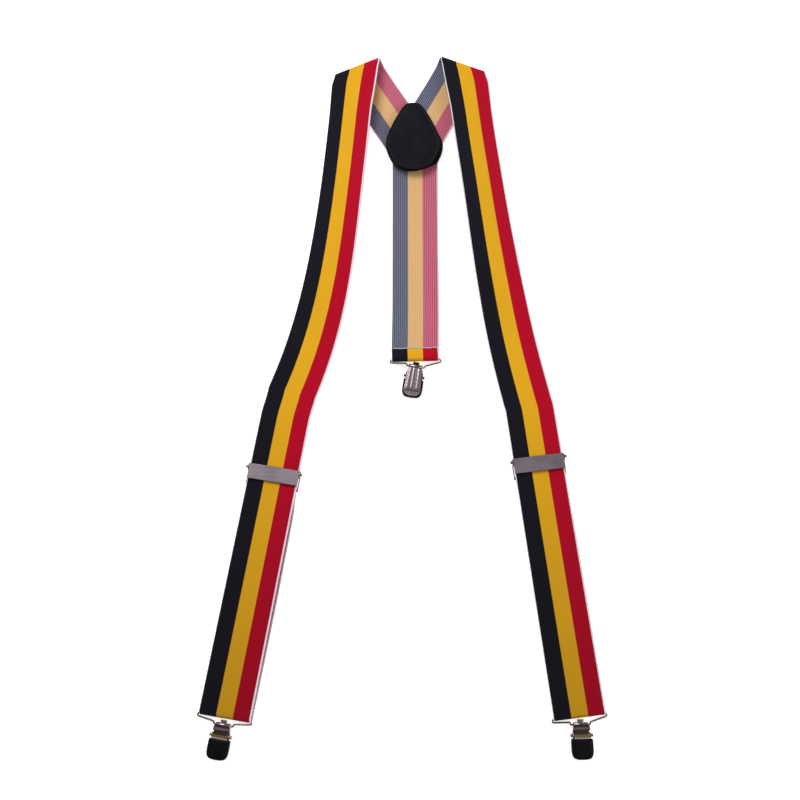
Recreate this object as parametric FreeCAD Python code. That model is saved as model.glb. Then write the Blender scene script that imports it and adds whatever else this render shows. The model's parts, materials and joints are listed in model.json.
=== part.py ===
import FreeCAD, Part
import math
import os

# Clip-on Y-back suspenders, lying as worn: two striped front straps, folded over at the
# shoulders, whose back branches meet a single rear strap under a leather yoke.
# +X right, +Y towards the shoulder folds, +Z up, floor at z = 0, millimetres.

V = FreeCAD.Vector
UP = V(0, 0, 1)

# ---- webbing ----
WIDTH = 37.0
THICK = 1.3
LAYER_GAP = 0.2

# ---- strap run of each side ----
SIDES = {
    "left": {
        "sign": -1, "fold_at": (-35.2, 264.5), "fold_angle": 14.0, "front_heading": 6.5,
        "branch_heading": 31.0, "slider_at": (-94.8, -68.5), "heading": 9.65,
        "crease_above_slider": 55.0, "crease_heading": 20.0,
    },
    "right": {
        "sign": 1, "fold_at": (49.0, 266.2), "fold_angle": 11.0, "front_heading": 7.5,
        "branch_heading": 28.0, "slider_at": (100.6, -60.1), "heading": 7.2,
        "crease_above_slider": 45.0, "crease_heading": 13.5,
    },
}
LOOP_DISTANCE = {"left": 176.2, "right": 183.1}
FOLD_RADIUS_OUTER = 1.6
FOLD_RADIUS_INNER = 5.4
FOLD_STEPS = 12
CURVE_REACH = 90.0
MID_ROLL = 20.0
CHEST_STATIONS = 9
TABLE_GAP = 0.1
NODE_GAP = 0.05
FAR = 400.0

# ---- heights of the doubled lower run ----
WIRE_R = 0.8
WRAP_R = 1.35
RETURN_Z = 0.0
WIRE_Z = RETURN_Z + THICK + WRAP_R
FRONT_Z = WIRE_Z + WRAP_R
WRAP_STRAIGHT = 6.0
HOLE_PLAY = 0.05

# ---- yoke and rear strap ----
YOKE_AT = (9.1, 206.0)
YOKE_HEIGHT = 61.0
YOKE_HALF_WIDTH = 21.8
YOKE_SHAPE = [(0.28, 0.94), (0.53, 0.68), (0.81, 0.27), (0.985, -0.13), (0.95, -0.45),
              (0.74, -0.77), (0.41, -0.95)]
LEATHER = 1.3
YOKE_STRAP_Z = LEATHER + LAYER_GAP
YOKE_RIM_RADIUS = 0.35
YOKE_OUTER_SKEW = 1.2
YOKE_THREAD_INSET = 2.3
YOKE_THREAD = 0.45
YOKE_THREAD_HIGH = 0.25
BRANCH_END_Y = 196.2
BRANCH_RAMP = (12.0, 32.0)
BRANCH_LENGTH = 110.0
BRANCH_SEAM = 0.15
REAR_X = 10.2
REAR_WIRE_Y = 19.0
REAR_WIRE_Z = 5.0
REAR_TURN = -1.5
REAR_RAMP_Y = (168.0, 140.0, 70.0)
TAIL_LENGTH = 10.5
TAIL_DROP = 2 * WRAP_R - 0.25
TAIL_OVERRUN = 2.0
REAR_STITCHES = 12
REAR_STITCH_PITCH = 2.9
REAR_STITCH = (1.7, 0.4, 0.3)

# ---- slider, measured from its pin ----
SLIDER_PIN_R = 0.7
SLIDER_PIN_Z = 6.5
SLIDER_PIN_HALF = 21.0
SLIDER_PLATE_HALF = 18.8
PLATE_ABOVE = 2.7
PLATE_BELOW = 8.8
PLATE_THICK = 0.9
RAIL_IN = 18.95
RAIL_OUT = 19.6
SLIDER_BAR_Y = -11.2
SLIDER_BAR_WIDTH = 2.2
BAR_Z = (1.5, 2.3)
SLIDER_TAIL_END = -23.5
SLIDER_WRAP_END = -25.5
SLIDER_EAR_HALF = 2.6
SLIDER_EAR_ABOVE_PIN = 1.3
SLIDER_HEAD_R = 1.0
SLIDER_KNUCKLE_R = 1.05
PLATE_ABOVE_PIN = 1.15
PLATE_EDGE_RADIUS = 0.4
ANVIL_GAP = 0.3
ANVIL_THICK = 0.8
TEETH = 12
TOOTH_PITCH = 3.0
TOOTH_WIDTH = 1.4
TOOTH_Y = (-2.6, -1.2, -1.9)
SLIDER_STITCH_ROWS = (-18.0, -21.0)
SLIDER_STITCH_R = 0.25

# ---- clip, measured from the bail bar it hangs on ----
BAIL_DROP = 7.2
BAIL_HALF = 20.0
BAIL_SHOULDER = -4.0
BAIL_STEP = ((6.5, 0.0), (7.4, 1.9))
BAIL_RADII = [0.9, 0.9, 1.7, 1.7]
BAIL_END = 0.1
CLIP_YAW = {"left": 0.0, "right": -6.0, "rear": -10.5}
CLIP_HALF = 6.3
SHEET = 0.8
BARREL_R = 1.6
BARREL_BORE = 0.87
CLIP_PIN_Y = -7.2
CLIP_PIN_Z = 4.2
CLIP_PIN_R = 0.8
CLIP_PIN_HALF = 7.9
CLIP_LENGTH = 23.6
COVER_TOP_Y = -9.4
COVER_HALF = 7.65
COVER_Z = (2.6, 7.0)
EAR_R = 2.0
PAD_Z = (0.9, 2.3)
PAD_Y = (-19.2, -11.2)
CLIP_HEIGHT = 7.4
BARREL_HALF = 5.2
BASE_END = -CLIP_LENGTH + 0.4
BASE_TIP = 4.0
TONGUE_HALF = 2.3
TONGUE_Y = (0.9, 3.6)
TONGUE_SLOT_HALF = 1.1
TONGUE_SLOT_Y = (1.9, 2.7)
CHEEK_R = 1.7
CHEEK_GAP = 0.3
CHEEK_TOP = 6.1
CLIP_HEAD_R = 1.1
LEVER_LINE = [(-0.6, 6.6), (-3.0, 6.85), (-6.6, 6.75), (-9.8, 5.8), (-13.0, 5.0)]
LEVER_END_Z = 4.6
SPRING_PITCH = 0.85
SPRING_TURNS = 8
SPRING_R = 1.35
SPRING_WIRE_R = 0.26
COVER_BEND = 5.2
COVER_RIM_RADIUS = 0.8
RIB_PITCH = 1.5
RIB_GROOVE = 0.6
RIB_DEPTH = 0.5


def box(x0, x1, y0, y1, z0, z1):
    return Part.makeBox(x1 - x0, y1 - y0, z1 - z0, V(x0, y0, z0))


def rod(radius, x0, x1, y, z):
    return Part.makeCylinder(radius, x1 - x0, V(x0, y, z), V(1, 0, 0))


def joined(shapes):
    whole = shapes[0].fuse(shapes[1:])
    return whole.removeSplitter()


def heading_vector(degrees):
    """Unit vector that points down the strap, turned towards +X by the given angle."""
    angle = math.radians(degrees)
    return V(math.sin(angle), -math.cos(angle), 0)


def placement(x, y, z, turn):
    return FreeCAD.Placement(V(x, y, z), FreeCAD.Rotation(UP, turn))


def placed(shape, place):
    copy = shape.copy()
    copy.Placement = place.multiply(copy.Placement)
    return copy


def ribbon(sections, ruled=False):
    """Solid lofted through four-cornered sections of a strap."""
    wires = [Part.makePolygon(list(corners) + [corners[0]]) for corners in sections]
    return Part.makeLoft(wires, True, ruled)


def flat_section(centre, across, bottom, half=WIDTH / 2):
    """Section of a strap: centre in plan, a direction across it, height of its underside."""
    a = V(centre.x, centre.y, bottom) - across * half
    b = V(centre.x, centre.y, bottom) + across * half
    return [a, b, b + UP * THICK, a + UP * THICK]


def plan_polygon(points, z, height):
    corners = [V(x, y, z) for x, y in points]
    face = Part.Face(Part.makePolygon(corners + [corners[0]]))
    return face.extrude(UP * height)


def profile_solid(edges, half):
    """Extrudes a closed outline in the YZ plane to both sides of x = 0."""
    face = Part.Face(Part.Wire(edges))
    face.translate(V(-half, 0, 0))
    return face.extrude(V(2 * half, 0, 0))


def arc_yz(centre_y, centre_z, radius, start, middle, end):
    points = []
    for degrees in (start, middle, end):
        angle = math.radians(degrees)
        points.append(V(0, centre_y + radius * math.cos(angle), centre_z + radius * math.sin(angle)))
    return Part.Arc(points[0], points[1], points[2]).toShape()


def line(a, b):
    return Part.LineSegment(a, b).toShape()


def polyline(points):
    return [line(points[i], points[i + 1]) for i in range(len(points) - 1)]


# ---- shoulder fold: the strap goes round a slim cone, tight at the outer edge ----
def fold_frame(side):
    spec = SIDES[side]
    angle = math.radians(spec["fold_angle"])
    along = V(-spec["sign"] * math.cos(angle), math.sin(angle), 0)
    outward = V(spec["sign"] * math.sin(angle), math.cos(angle), 0)
    slant = math.radians(spec["fold_angle"] + spec["front_heading"])
    return V(spec["fold_at"][0], spec["fold_at"][1], 0), along, outward, slant


def fold_section(side, turn):
    origin, along, outward, slant = fold_frame(side)
    half = WIDTH / 2 / math.cos(slant)
    mean = (FOLD_RADIUS_OUTER + FOLD_RADIUS_INNER + THICK) / 2
    shift = -(turn - math.pi / 2) * mean * math.tan(slant)
    corners = []
    for a, radius, extra in (
        (-half, FOLD_RADIUS_OUTER, THICK),
        (half, FOLD_RADIUS_INNER, THICK),
        (half, FOLD_RADIUS_INNER, 0),
        (-half, FOLD_RADIUS_OUTER, 0),
    ):
        reach = radius + extra
        height = radius + THICK - reach * math.cos(turn)
        corners.append(origin + along * (a + shift) + outward * (reach * math.sin(turn)) + UP * height)
    return corners


def shoulder_fold(side):
    turns = [math.pi * i / FOLD_STEPS for i in range(FOLD_STEPS + 1)]
    return ribbon([fold_section(side, turn) for turn in turns])


def back_branch(side):
    spec = SIDES[side]
    start = fold_section(side, 0.0)
    centre = (start[0] + start[1]) * 0.5
    down = heading_vector(-spec["sign"] * spec["branch_heading"])
    across = UP.cross(down) * -spec["sign"]
    underside = [start[3], start[2], start[1], start[0]]
    sections = [underside]
    heights = (0.0, YOKE_STRAP_Z, YOKE_STRAP_Z)
    for distance, bottom in zip(BRANCH_RAMP + (BRANCH_LENGTH,), heights):
        sections.append(flat_section(centre + down * distance, across, bottom))
    strip = ribbon(sections, ruled=True)
    seam = YOKE_AT[0] + spec["sign"] * BRANCH_SEAM
    x0, x1 = sorted((seam, spec["sign"] * FAR))
    return strip.common(box(x0, x1, BRANCH_END_Y, FAR, -FAR, FAR))


# ---- front strap ----
def crease_point(side):
    spec = SIDES[side]
    down = heading_vector(spec["sign"] * spec["heading"])
    return V(spec["slider_at"][0], spec["slider_at"][1], 0) - down * spec["crease_above_slider"]


def crease_across(side):
    spec = SIDES[side]
    middle = (spec["heading"] + spec["crease_heading"]) / 2
    half_turn = math.radians(spec["crease_heading"] - spec["heading"]) / 2
    across = UP.cross(heading_vector(spec["sign"] * middle))
    return across * (1 / math.cos(half_turn))


def chest_run(side):
    spec = SIDES[side]
    top = fold_section(side, math.pi)
    # the fold's section runs outer edge first; the inner layer there is the underside
    outer, inner = top[3], top[2]
    start = (outer + inner) * 0.5
    end = crease_point(side)
    first = start + heading_vector(spec["sign"] * spec["front_heading"]) * CURVE_REACH
    last = end - heading_vector(spec["sign"] * spec["crease_heading"]) * CURVE_REACH
    sections = [[outer, inner, top[1], top[0]]]
    outer_z = outer.z
    for i in range(1, CHEST_STATIONS + 1):
        t = i / CHEST_STATIONS
        s = 1 - t
        centre = start * s ** 3 + first * 3 * s * s * t + last * 3 * s * t * t + end * t ** 3
        tangent = (first - start) * s * s + (last - first) * 2 * s * t + (end - last) * t * t
        tangent = V(tangent.x, tangent.y, 0).normalize()
        across = tangent.cross(UP) * -spec["sign"]
        if i == CHEST_STATIONS:
            across = crease_across(side) * -spec["sign"]
        roll = math.radians(MID_ROLL) * math.sin(math.pi * min(1.0, 0.5 + t / 2)) ** 0.8
        low = outer_z * s ** 3 + FRONT_Z * t ** 3 + TABLE_GAP
        level = across * math.cos(roll) + UP * (across.Length * math.sin(roll))
        normal = (UP * math.cos(roll) - across * math.sin(roll)).normalize()
        edge = V(centre.x, centre.y, 0) - level * (WIDTH / 2)
        edge.z = low
        if i == CHEST_STATIONS:
            edge.z = FRONT_Z
        raised = edge + level * WIDTH
        sections.append([edge, raised, raised + normal * THICK, edge + normal * THICK])
    return ribbon(sections)


def slider_place(side):
    spec = SIDES[side]
    return placement(spec["slider_at"][0], spec["slider_at"][1], 0, spec["sign"] * spec["heading"])


def wire_place(side):
    spec = SIDES[side]
    centre = V(spec["slider_at"][0], spec["slider_at"][1], 0)
    centre = centre + heading_vector(spec["sign"] * spec["heading"]) * LOOP_DISTANCE[side]
    return placement(centre.x, centre.y, 0, spec["sign"] * spec["heading"])


def lower_run(side):
    spec = SIDES[side]
    down = heading_vector(spec["sign"] * spec["heading"])
    square = UP.cross(down)
    mitre = crease_across(side)
    start = crease_point(side) + down * NODE_GAP
    wire = wire_place(side).Base
    end = wire - down * (WRAP_STRAIGHT + NODE_GAP)
    half = WIDTH / 2
    corners = [start - mitre * half, start + mitre * half, end + square * half, end - square * half]
    return plan_polygon([(c.x, c.y) for c in corners], FRONT_Z, THICK)


def bail_wrap():
    """The strap turned round the wire: front layer above, return layer below."""
    inner = WRAP_R
    outer = WRAP_R + THICK
    z = WIRE_Z
    edges = [
        arc_yz(0, z, outer, 90, 180, 270),
        line(V(0, 0, z - outer), V(0, WRAP_STRAIGHT, z - outer)),
        line(V(0, WRAP_STRAIGHT, z - outer), V(0, WRAP_STRAIGHT, z - inner)),
        line(V(0, WRAP_STRAIGHT, z - inner), V(0, 0, z - inner)),
        arc_yz(0, z, inner, 270, 180, 90),
        line(V(0, 0, z + inner), V(0, WRAP_STRAIGHT, z + inner)),
        line(V(0, WRAP_STRAIGHT, z + inner), V(0, WRAP_STRAIGHT, z + outer)),
        line(V(0, WRAP_STRAIGHT, z + outer), V(0, 0, z + outer)),
    ]
    return profile_solid(edges, WIDTH / 2)


def return_run(side):
    low = WRAP_STRAIGHT + NODE_GAP
    top = LOOP_DISTANCE[side] + SLIDER_WRAP_END - NODE_GAP
    return box(-WIDTH / 2, WIDTH / 2, low, top, RETURN_Z, RETURN_Z + THICK)


def slider_wrap():
    """End of the strap: round the slider's bar and down again, sewn to itself."""
    middle = (BAR_Z[0] + BAR_Z[1]) / 2
    inner = middle - RETURN_Z - THICK
    outer = inner + THICK
    turn_y = SLIDER_BAR_Y + SLIDER_BAR_WIDTH / 2 + 0.3
    edges = [
        arc_yz(turn_y, middle, outer, 90, 0, -90),
        line(V(0, turn_y, middle - outer), V(0, SLIDER_WRAP_END, middle - outer)),
        line(V(0, SLIDER_WRAP_END, middle - outer), V(0, SLIDER_WRAP_END, middle - inner)),
        line(V(0, SLIDER_WRAP_END, middle - inner), V(0, turn_y, middle - inner)),
        arc_yz(turn_y, middle, inner, -90, 0, 90),
        line(V(0, turn_y, middle + inner), V(0, SLIDER_TAIL_END, middle + inner)),
        line(V(0, SLIDER_TAIL_END, middle + inner), V(0, SLIDER_TAIL_END, middle + outer)),
        line(V(0, SLIDER_TAIL_END, middle + outer), V(0, turn_y, middle + outer)),
    ]
    return profile_solid(edges, WIDTH / 2)


def slider_stitching():
    """Rows of thread that pin the turned-back end to the return layer."""
    threads = []
    low = RETURN_Z + THICK + NODE_GAP
    high = BAR_Z[0] + BAR_Z[1] - RETURN_Z - THICK - NODE_GAP
    for row_y in SLIDER_STITCH_ROWS:
        for i in range(TEETH):
            place = V((i - (TEETH - 1) / 2) * TOOTH_PITCH, row_y, low)
            threads.append(Part.makeCylinder(SLIDER_STITCH_R, high - low, place, UP))
    return Part.makeCompound(threads)


# ---- slider ----
def slider_frame():
    half = SLIDER_EAR_HALF
    crown_z = SLIDER_PIN_Z + SLIDER_EAR_ABOVE_PIN - half
    low_y = SLIDER_BAR_Y - SLIDER_BAR_WIDTH / 2
    parts = []
    for s in (-1, 1):
        x0, x1 = sorted((s * RAIL_IN, s * RAIL_OUT))
        parts.append(box(x0, x1, low_y, half, BAR_Z[0], BAR_Z[1]))
        parts.append(box(x0, x1, -half, half, BAR_Z[0], crown_z))
        parts.append(rod(half, x0, x1, 0, crown_z))
    parts.append(box(-RAIL_OUT, RAIL_OUT, low_y, low_y + SLIDER_BAR_WIDTH, BAR_Z[0], BAR_Z[1]))
    anvil_top = FRONT_Z - ANVIL_GAP
    parts.append(box(-RAIL_OUT, RAIL_OUT, -half, half, anvil_top - ANVIL_THICK, anvil_top))
    return joined(parts).cut(slider_pin_hole())


def slider_pin_hole():
    return rod(SLIDER_PIN_R + HOLE_PLAY, -SLIDER_PIN_HALF, SLIDER_PIN_HALF, 0, SLIDER_PIN_Z)


def slider_pin():
    shaft = rod(SLIDER_PIN_R, -SLIDER_PIN_HALF, SLIDER_PIN_HALF, 0, SLIDER_PIN_Z)
    heads = []
    for s in (-1, 1):
        x0, x1 = sorted((s * (RAIL_OUT + LAYER_GAP), s * SLIDER_PIN_HALF))
        heads.append(rod(SLIDER_HEAD_R, x0, x1, 0, SLIDER_PIN_Z))
    return joined([shaft] + heads)


def slider_lever():
    """Cover plate with a knuckle round the pin and a row of teeth under it."""
    half = SLIDER_PLATE_HALF
    top = SLIDER_PIN_Z + PLATE_ABOVE_PIN
    plate = box(-half, half, -PLATE_BELOW, PLATE_ABOVE, top - PLATE_THICK, top)
    upper = [e for e in plate.Edges if e.BoundBox.ZMin > top - NODE_GAP]
    plate = plate.makeFillet(PLATE_EDGE_RADIUS, [e for e in upper if e.Length > half])
    knuckle = rod(SLIDER_KNUCKLE_R, -half, half, 0, SLIDER_PIN_Z)
    base = top - PLATE_THICK + TABLE_GAP
    tip = FRONT_Z + THICK + TABLE_GAP
    teeth = []
    for i in range(TEETH):
        x = (i - (TEETH - 1) / 2) * TOOTH_PITCH - TOOTH_WIDTH / 2
        corners = [V(x, TOOTH_Y[0], base), V(x, TOOTH_Y[1], base), V(x, TOOTH_Y[2], tip)]
        face = Part.Face(Part.makePolygon(corners + [corners[0]]))
        teeth.append(face.extrude(V(TOOTH_WIDTH, 0, 0)))
    return joined([plate, knuckle] + teeth).cut(slider_pin_hole())


# ---- clip ----
def rounded_path(points, radii):
    """Straight runs joined by tangent arcs; the first and last points are the ends."""
    edges = []
    here = points[0]
    for i in range(1, len(points) - 1):
        before = (points[i - 1] - points[i]).normalize()
        after = (points[i + 1] - points[i]).normalize()
        turn = math.pi - before.getAngle(after)
        setback = radii[i - 1] * math.tan(turn / 2)
        a = points[i] + before * setback
        b = points[i] + after * setback
        bisector = (before + after).normalize()
        centre = points[i] + bisector * (radii[i - 1] / math.cos(turn / 2))
        edges.append(line(here, a))
        edges.append(Part.Arc(a, centre - bisector * radii[i - 1], b).toShape())
        here = b
    edges.append(line(here, points[-1]))
    return Part.Wire(edges)


def bail_wire(along):
    """Closed wire loop whose two ends butt inside the clip's barrel; the lower bar points along."""
    bar = V(0, -BAIL_DROP, 0)
    halves = []
    for s in (1, -1):
        half = [bar + along * (s * x) + V(0, rise, 0) for x, rise in BAIL_STEP]
        halves.append(half + [V(s * BAIL_HALF, BAIL_SHOULDER, 0), V(s * BAIL_HALF, 0, 0)])
    start = bar + along * BAIL_END
    points = [start] + halves[0] + list(reversed(halves[1])) + [bar - along * BAIL_END]
    path = rounded_path(points, BAIL_RADII + list(reversed(BAIL_RADII)))
    circle = Part.Wire(Part.makeCircle(WIRE_R, start, along))
    return path.makePipeShell([circle], True, False)


def clip_base():
    corners = [V(x, BASE_END + BASE_TIP, 0) for x in (-CLIP_HALF, CLIP_HALF)]
    outline = polyline([corners[0], V(-CLIP_HALF, 0, 0), V(CLIP_HALF, 0, 0), corners[1]])
    outline.append(Part.Arc(corners[1], V(0, BASE_END, 0), corners[0]).toShape())
    parts = [Part.Face(Part.Wire(outline)).extrude(UP * SHEET)]
    for s in (-1, 1):
        x0, x1 = sorted((s * (CLIP_HALF - SHEET), s * CLIP_HALF))
        parts.append(box(x0, x1, CLIP_PIN_Y - EAR_R, CLIP_PIN_Y + EAR_R, 0, CLIP_PIN_Z))
        parts.append(rod(EAR_R, x0, x1, CLIP_PIN_Y, CLIP_PIN_Z))
    barrel = rod(BARREL_R, -BARREL_HALF, BARREL_HALF, 0, BARREL_R)
    tongue_z = BARREL_R + CHEEK_GAP
    tongue = box(-TONGUE_HALF, TONGUE_HALF, *TONGUE_Y, tongue_z, tongue_z + SHEET)
    tongue = tongue.cut(box(-TONGUE_SLOT_HALF, TONGUE_SLOT_HALF, *TONGUE_SLOT_Y, 0, FAR))
    whole = joined(parts + [barrel, tongue])
    whole = whole.cut(rod(BARREL_BORE, -CLIP_PIN_HALF, CLIP_PIN_HALF, 0, BARREL_R))
    return whole.cut(clip_pin_hole())


def clip_pin_hole():
    return rod(CLIP_PIN_R + HOLE_PLAY, -CLIP_PIN_HALF, CLIP_PIN_HALF, CLIP_PIN_Y, CLIP_PIN_Z)


def lever_sheet(half, thickness, last_y):
    """Thumb end, hump over the pin and jaw plate, bent from one strip."""
    mid = LEVER_LINE + [(last_y, LEVER_END_Z)]
    h = thickness / 2
    upper = Part.BSplineCurve()
    upper.interpolate([V(0, y, z + h) for y, z in mid])
    lower = Part.BSplineCurve()
    lower.interpolate([V(0, y, z - h) for y, z in mid])
    ends = [
        line(V(0, mid[-1][0], mid[-1][1] + h), V(0, mid[-1][0], mid[-1][1] - h)),
        line(V(0, mid[0][0], mid[0][1] - h), V(0, mid[0][0], mid[0][1] + h)),
    ]
    return profile_solid([upper.toShape(), ends[0], lower.toShape(), ends[1]], half)


def clip_lever():
    sheet = lever_sheet(CLIP_HALF, SHEET, -CLIP_LENGTH + 1.2)
    for s in (-1, 1):
        x0, x1 = sorted((s * (CLIP_HALF - SHEET - CHEEK_GAP), s * CLIP_PIN_HALF))
        notch = EAR_R + SHEET + HOLE_PLAY
        sheet = sheet.cut(box(x0, x1, CLIP_PIN_Y - notch, CLIP_PIN_Y + notch, 0, FAR))
    parts = [sheet]
    for s in (-1, 1):
        outer = CLIP_HALF - SHEET - CHEEK_GAP
        x0, x1 = sorted((s * (outer - SHEET), s * outer))
        y0, y1 = (CLIP_PIN_Y - CHEEK_R, CLIP_PIN_Y + CHEEK_R)
        parts.append(box(x0, x1, y0, y1, CLIP_PIN_Z, CHEEK_TOP))
        parts.append(rod(CHEEK_R, x0, x1, CLIP_PIN_Y, CLIP_PIN_Z))
    return joined(parts).cut(clip_pin_hole())


def clip_pin():
    shaft = rod(CLIP_PIN_R, -CLIP_PIN_HALF, CLIP_PIN_HALF, CLIP_PIN_Y, CLIP_PIN_Z)
    heads = []
    for s in (-1, 1):
        x0, x1 = sorted((s * (CLIP_HALF + CHEEK_GAP), s * CLIP_PIN_HALF))
        heads.append(rod(CLIP_HEAD_R, x0, x1, CLIP_PIN_Y, CLIP_PIN_Z))
    return joined([shaft] + heads)


def clip_spring():
    """Torsion coil on the pin, between the lever's cheeks."""
    length = SPRING_PITCH * SPRING_TURNS
    helix = Part.makeHelix(SPRING_PITCH, length, SPRING_R)
    circle = Part.Wire(Part.makeCircle(SPRING_WIRE_R, V(SPRING_R, 0, 0), V(0, 1, 0)))
    coil = Part.Wire(helix.Edges).makePipeShell([circle], True, True)
    start = V(-length / 2, CLIP_PIN_Y, CLIP_PIN_Z)
    return placed(coil, FreeCAD.Placement(start, FreeCAD.Rotation(V(0, 1, 0), 90)))


def jaw_cover():
    """Ribbed plastic shoe pushed over the lever's jaw plate."""
    low_y = -CLIP_LENGTH
    shoulder = [(COVER_HALF, COVER_TOP_Y), (COVER_HALF, low_y + COVER_BEND)]
    tip = [(COVER_HALF - 1.6, low_y + 1.5), (COVER_HALF - 4.4, low_y + 0.2)]
    right = [V(x, y, 0) for x, y in shoulder + tip]
    left = [V(-p.x, p.y, 0) for p in right]
    edges = [
        line(left[0], right[0]),
        line(right[0], right[1]),
        Part.Arc(right[1], right[2], right[3]).toShape(),
        Part.Arc(right[3], V(0, low_y, 0), left[3]).toShape(),
        Part.Arc(left[3], left[2], left[1]).toShape(),
        line(left[1], left[0]),
    ]
    block = Part.Face(Part.Wire(edges)).extrude(UP * (COVER_Z[1] - COVER_Z[0]))
    block.translate(UP * COVER_Z[0])
    rim = [e for e in block.Edges if e.BoundBox.ZMin > COVER_Z[1] - NODE_GAP]
    block = block.makeFillet(COVER_RIM_RADIUS, rim)
    cover = block.cut(lever_sheet(CLIP_HALF + HOLE_PLAY, SHEET + TABLE_GAP, low_y + 1.1))
    reach = CLIP_HALF - CHEEK_GAP
    for i in range(7):
        y = -12.0 - RIB_PITCH * i
        cover = cover.cut(box(-reach, reach, y, y + RIB_GROOVE, 0, COVER_Z[0] + RIB_DEPTH))
    return cover


def base_pad():
    half = CLIP_HALF - BASE_TIP / 10
    pad = box(-half, half, *PAD_Y, *PAD_Z)
    for i in range(5):
        y = -12.75 - RIB_PITCH * i
        pad = pad.cut(box(-CLIP_HALF, CLIP_HALF, y, y + RIB_GROOVE, PAD_Z[1] - RIB_DEPTH, FAR))
    return pad


# ---- yoke ----
def yoke_outline(inset=0.0):
    w = YOKE_HALF_WIDTH - inset
    h = YOKE_HEIGHT / 2 - inset
    right = [V(x * w, y * h, 0) for x, y in YOKE_SHAPE]
    left = [V(-p.x, p.y, 0) for p in reversed(right)]
    points = [V(0, h, 0)] + right + [V(0, -h, 0)] + left
    curve = Part.BSplineCurve()
    curve.interpolate(points, PeriodicFlag=True)
    return Part.Wire(curve.toShape())


def yoke_leather(bottom, skew):
    """One of the two leather pieces that sandwich the strap ends."""
    leather = Part.Face(yoke_outline()).extrude(UP * LEATHER)
    rim = [e for e in leather.Edges if e.BoundBox.ZMin > LEATHER - NODE_GAP]
    leather = leather.makeFillet(YOKE_RIM_RADIUS, rim)
    return placed(leather, placement(YOKE_AT[0] + skew, YOKE_AT[1], bottom, -skew))


def yoke_stitching(bottom):
    rings = []
    for inset in (YOKE_THREAD_INSET, YOKE_THREAD_INSET + YOKE_THREAD):
        rings.append(Part.Face(yoke_outline(inset)).extrude(UP * YOKE_THREAD_HIGH))
    seam = rings[0].cut(rings[1]).Solids[0]
    return placed(seam, placement(YOKE_AT[0], YOKE_AT[1], bottom, 0))


# ---- rear strap ----
def rear_wrap():
    """Rear strap's end: under the wire, round it and turned up over the strap."""
    inner = WRAP_R
    outer = WRAP_R + THICK
    z = REAR_WIRE_Z
    tail = TAIL_LENGTH
    back = TAIL_LENGTH + TAIL_OVERRUN
    edges = [
        arc_yz(0, z, outer, 90, 180, 270),
        line(V(0, 0, z - outer), V(0, back, z - outer)),
        line(V(0, back, z - outer), V(0, back, z - inner)),
        line(V(0, back, z - inner), V(0, 0, z - inner)),
        arc_yz(0, z, inner, 270, 180, 90),
        line(V(0, 0, z + inner), V(0, tail, z + inner - TAIL_DROP)),
        line(V(0, tail, z + inner - TAIL_DROP), V(0, tail, z + outer - TAIL_DROP)),
        line(V(0, tail, z + outer - TAIL_DROP), V(0, 0, z + outer)),
    ]
    return profile_solid(edges, WIDTH / 2)


def rear_stitching():
    long, wide, high = REAR_STITCH
    y = TAIL_LENGTH - TAIL_OVERRUN
    top = REAR_WIRE_Z + WRAP_R + THICK - TAIL_DROP * y / TAIL_LENGTH + TABLE_GAP
    threads = []
    for i in range(REAR_STITCHES):
        x = (i - (REAR_STITCHES - 1) / 2) * REAR_STITCH_PITCH
        threads.append(box(x - long / 2, x + long / 2, y - wide / 2, y + wide / 2, top, top + high))
    return Part.makeCompound(threads)


def rear_strap():
    across = V(1, 0, 0)
    end = rear_wrap_place().multVec(V(0, TAIL_LENGTH + TAIL_OVERRUN + NODE_GAP, 0))
    turned = rear_wrap_place().Rotation.multVec(across)
    low = REAR_WIRE_Z - WRAP_R - THICK
    heights = (YOKE_STRAP_Z, YOKE_STRAP_Z, 0.0, 0.0)
    sections = []
    for y, bottom in zip((BRANCH_END_Y - LAYER_GAP,) + REAR_RAMP_Y, heights):
        sections.append(flat_section(V(REAR_X, y, 0), across, bottom))
    sections.append(flat_section(end, turned, low))
    return ribbon(sections, ruled=True)


def rear_wrap_place():
    return placement(REAR_X - 0.4, REAR_WIRE_Y, 0, -REAR_TURN)


# ---- assembly ----
def bar_place(wire_z, flipped):
    """Bail's tilt in degrees and the lower bar's distance down the strap."""
    bar_z = CLIP_HEIGHT - BARREL_R if flipped else BARREL_R
    tilt = math.asin((wire_z - bar_z) / BAIL_DROP)
    return math.degrees(tilt), -BAIL_DROP * math.cos(tilt)


def hang_place(name, bar_y, flipped):
    """Place of a clip on its bar; the clip may hang a little askew, and the rear one lies face down."""
    turned = FreeCAD.Rotation(UP, CLIP_YAW[name])
    if flipped:
        over = FreeCAD.Rotation(V(0, 1, 0), 180)
        return FreeCAD.Placement(V(0, bar_y, CLIP_HEIGHT), turned.multiply(over))
    return FreeCAD.Placement(V(0, bar_y, 0), turned)


def clip_nodes(name, wire_at, wire_z, flipped):
    """All pieces of one clip; wire_at is the place of the wire's top bar."""
    tilt, bar_y = bar_place(wire_z, flipped)
    swing = FreeCAD.Placement(V(0, 0, wire_z), FreeCAD.Rotation(V(1, 0, 0), tilt))
    hang = hang_place(name, bar_y, flipped)
    along = FreeCAD.Rotation(UP, CLIP_YAW[name]).multVec(V(1, 0, 0))
    along = swing.Rotation.inverted().multVec(along)
    clip = {
        "clip_base": clip_base(), "clip_lever": clip_lever(), "clip_pin": clip_pin(),
        "clip_spring": clip_spring(), "jaw_cover": jaw_cover(), "base_pad": base_pad(),
    }
    nodes = {name + "_bail_wire": placed(bail_wire(along), wire_at.multiply(swing))}
    for piece, shape in clip.items():
        nodes[name + "_" + piece] = placed(shape, wire_at.multiply(hang))
    return nodes


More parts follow.
